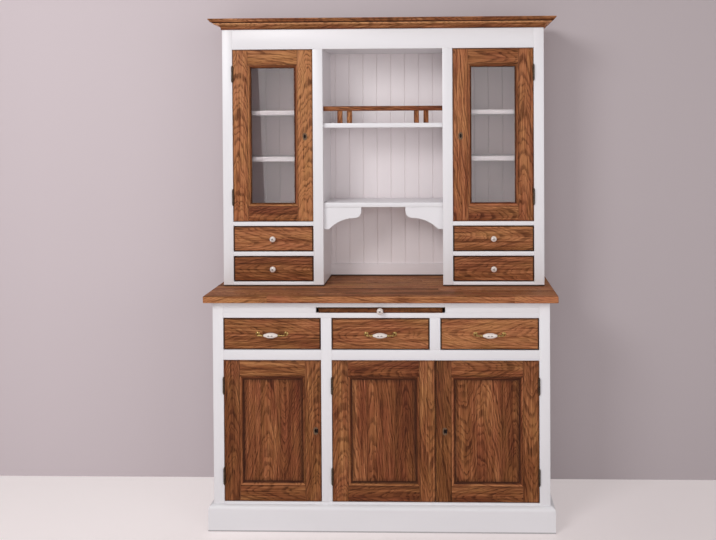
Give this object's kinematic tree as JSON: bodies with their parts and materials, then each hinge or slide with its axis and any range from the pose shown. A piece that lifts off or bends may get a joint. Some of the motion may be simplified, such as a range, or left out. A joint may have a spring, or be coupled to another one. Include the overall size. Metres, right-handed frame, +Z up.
{
  "type": "buffet cabinet",
  "caption": "Two-stage kitchen buffet: painted base with oak doors, drawers, pull-out board and worktop, and a glazed hutch with an open centre bay",
  "frame": {"origin": "on the floor, under the middle of the overall bounding box", "axes": "+X to the right along the front, +Y to the back, +Z up"},
  "size_m": [1.498, 0.4894, 2.1465],
  "materials": {
    "white_paint": "satin white paint over wood",
    "oak": "open-grained oak, satin wax",
    "pine": "bare softwood",
    "glass": "clear flat pane",
    "bronze": "dark bronzed",
    "brass": "aged brass",
    "ceramic": "glossy white glaze",
    "steel": "plain steel",
    "felt": "thin dark felt"
  },
  "bodies": {
    "cabinet": {"back_boards": "white_paint", "base_back_panel": "pine", "base_decks": "white_paint", "base_face_frame": "white_paint", "base_uprights": "white_paint", "bay_back_rail": "white_paint", "bay_shelves": "white_paint", "cornice": "oak", "cupboard_shelves": "white_paint", "drawer_guides": "pine", "frame_hinge_leaves": "bronze", "gallery_rail": "oak", "hutch_decks": "white_paint", "hutch_face_frame": "white_paint", "hutch_pads": "felt", "hutch_uprights": "white_paint", "plinth_boards": "white_paint", "scroll_brackets": "white_paint", "shelf_cleats": "white_paint", "worktop": "oak"},
    "glazed_door_left": {"glazed_door_left_frame": "oak", "glazed_door_left_glass": "glass", "glazed_door_left_fittings": "bronze"},
    "glazed_door_left_latch": {"glazed_door_left_bolt": "steel"},
    "glazed_door_right": {"glazed_door_right_frame": "oak", "glazed_door_right_glass": "glass", "glazed_door_right_fittings": "bronze"},
    "glazed_door_right_latch": {"glazed_door_right_bolt": "steel"},
    "base_door_left": {"base_door_left_frame": "oak", "base_door_left_panel": "oak", "base_door_left_fittings": "bronze"},
    "base_door_left_latch": {"base_door_left_bolt": "steel"},
    "base_door_middle": {"base_door_middle_frame": "oak", "base_door_middle_panel": "oak", "base_door_middle_fittings": "bronze"},
    "base_door_middle_latch": {"base_door_middle_bolt": "steel"},
    "base_door_right": {"base_door_right_frame": "oak", "base_door_right_panel": "oak", "base_door_right_fittings": "bronze"},
    "base_door_right_latch": {"base_door_right_bolt": "steel"},
    "base_drawer_left": {"base_drawer_left": "oak", "base_drawer_left_pull": "brass", "base_drawer_left_grip": "ceramic"},
    "base_drawer_middle": {"base_drawer_middle": "oak", "base_drawer_middle_pull": "brass", "base_drawer_middle_grip": "ceramic"},
    "base_drawer_right": {"base_drawer_right": "oak", "base_drawer_right_pull": "brass", "base_drawer_right_grip": "ceramic"},
    "small_drawer_lower_left": {"small_drawer_lower_left": "oak", "small_drawer_lower_left_knob": "ceramic"},
    "small_drawer_lower_right": {"small_drawer_lower_right": "oak", "small_drawer_lower_right_knob": "ceramic"},
    "small_drawer_upper_left": {"small_drawer_upper_left": "oak", "small_drawer_upper_left_knob": "ceramic"},
    "small_drawer_upper_right": {"small_drawer_upper_right": "oak", "small_drawer_upper_right_knob": "ceramic"},
    "serving_board": {"serving_board": "oak", "serving_board_knob": "ceramic"}
  },
  "joints": [
    {"name": "glazed_door_left_swing", "type": "hinge", "parent": "cabinet", "child": "glazed_door_left", "pos_m": [-0.6555, -0.02955, 1.6], "axis": [0, 0, -1], "range_deg": [0, 110]},
    {"name": "glazed_door_left_bolt_throw", "type": "slide", "parent": "glazed_door_left", "child": "glazed_door_left_latch", "axis": [1, 0, 0], "range_m": [0, 0.009]},
    {"name": "glazed_door_right_swing", "type": "hinge", "parent": "cabinet", "child": "glazed_door_right", "pos_m": [0.6555, -0.02955, 1.6], "axis": [0, 0, 1], "range_deg": [0, 110]},
    {"name": "glazed_door_right_bolt_throw", "type": "slide", "parent": "glazed_door_right", "child": "glazed_door_right_latch", "axis": [-1, 0, 0], "range_m": [0, 0.009]},
    {"name": "base_door_left_swing", "type": "hinge", "parent": "cabinet", "child": "base_door_left", "pos_m": [-0.655, -0.20955, 0.5], "axis": [0, 0, -1], "range_deg": [0, 110]},
    {"name": "base_door_left_bolt_throw", "type": "slide", "parent": "base_door_left", "child": "base_door_left_latch", "axis": [1, 0, 0], "range_m": [0, 0.009]},
    {"name": "base_door_middle_swing", "type": "hinge", "parent": "cabinet", "child": "base_door_middle", "pos_m": [-0.203, -0.20955, 0.5], "axis": [0, 0, -1], "range_deg": [0, 95]},
    {"name": "base_door_middle_bolt_throw", "type": "slide", "parent": "base_door_middle", "child": "base_door_middle_latch", "axis": [0, 0, 1], "range_m": [0, 0.012]},
    {"name": "base_door_right_swing", "type": "hinge", "parent": "cabinet", "child": "base_door_right", "pos_m": [0.655, -0.20955, 0.5], "axis": [0, 0, 1], "range_deg": [0, 110]},
    {"name": "base_door_right_bolt_throw", "type": "slide", "parent": "base_door_right", "child": "base_door_right_latch", "axis": [-1, 0, 0], "range_m": [0, 0.009]},
    {"name": "base_drawer_left_slide", "type": "slide", "parent": "cabinet", "child": "base_drawer_left", "axis": [0, -1, 0], "range_m": [0, 0.3]},
    {"name": "base_drawer_middle_slide", "type": "slide", "parent": "cabinet", "child": "base_drawer_middle", "axis": [0, -1, 0], "range_m": [0, 0.3]},
    {"name": "base_drawer_right_slide", "type": "slide", "parent": "cabinet", "child": "base_drawer_right", "axis": [0, -1, 0], "range_m": [0, 0.3]},
    {"name": "small_drawer_lower_left_slide", "type": "slide", "parent": "cabinet", "child": "small_drawer_lower_left", "axis": [0, -1, 0], "range_m": [0, 0.17]},
    {"name": "small_drawer_lower_right_slide", "type": "slide", "parent": "cabinet", "child": "small_drawer_lower_right", "axis": [0, -1, 0], "range_m": [0, 0.17]},
    {"name": "small_drawer_upper_left_slide", "type": "slide", "parent": "cabinet", "child": "small_drawer_upper_left", "axis": [0, -1, 0], "range_m": [0, 0.17]},
    {"name": "small_drawer_upper_right_slide", "type": "slide", "parent": "cabinet", "child": "small_drawer_upper_right", "axis": [0, -1, 0], "range_m": [0, 0.17]},
    {"name": "serving_board_slide", "type": "slide", "parent": "cabinet", "child": "serving_board", "axis": [0, -1, 0], "range_m": [0, 0.3]}
  ]
}
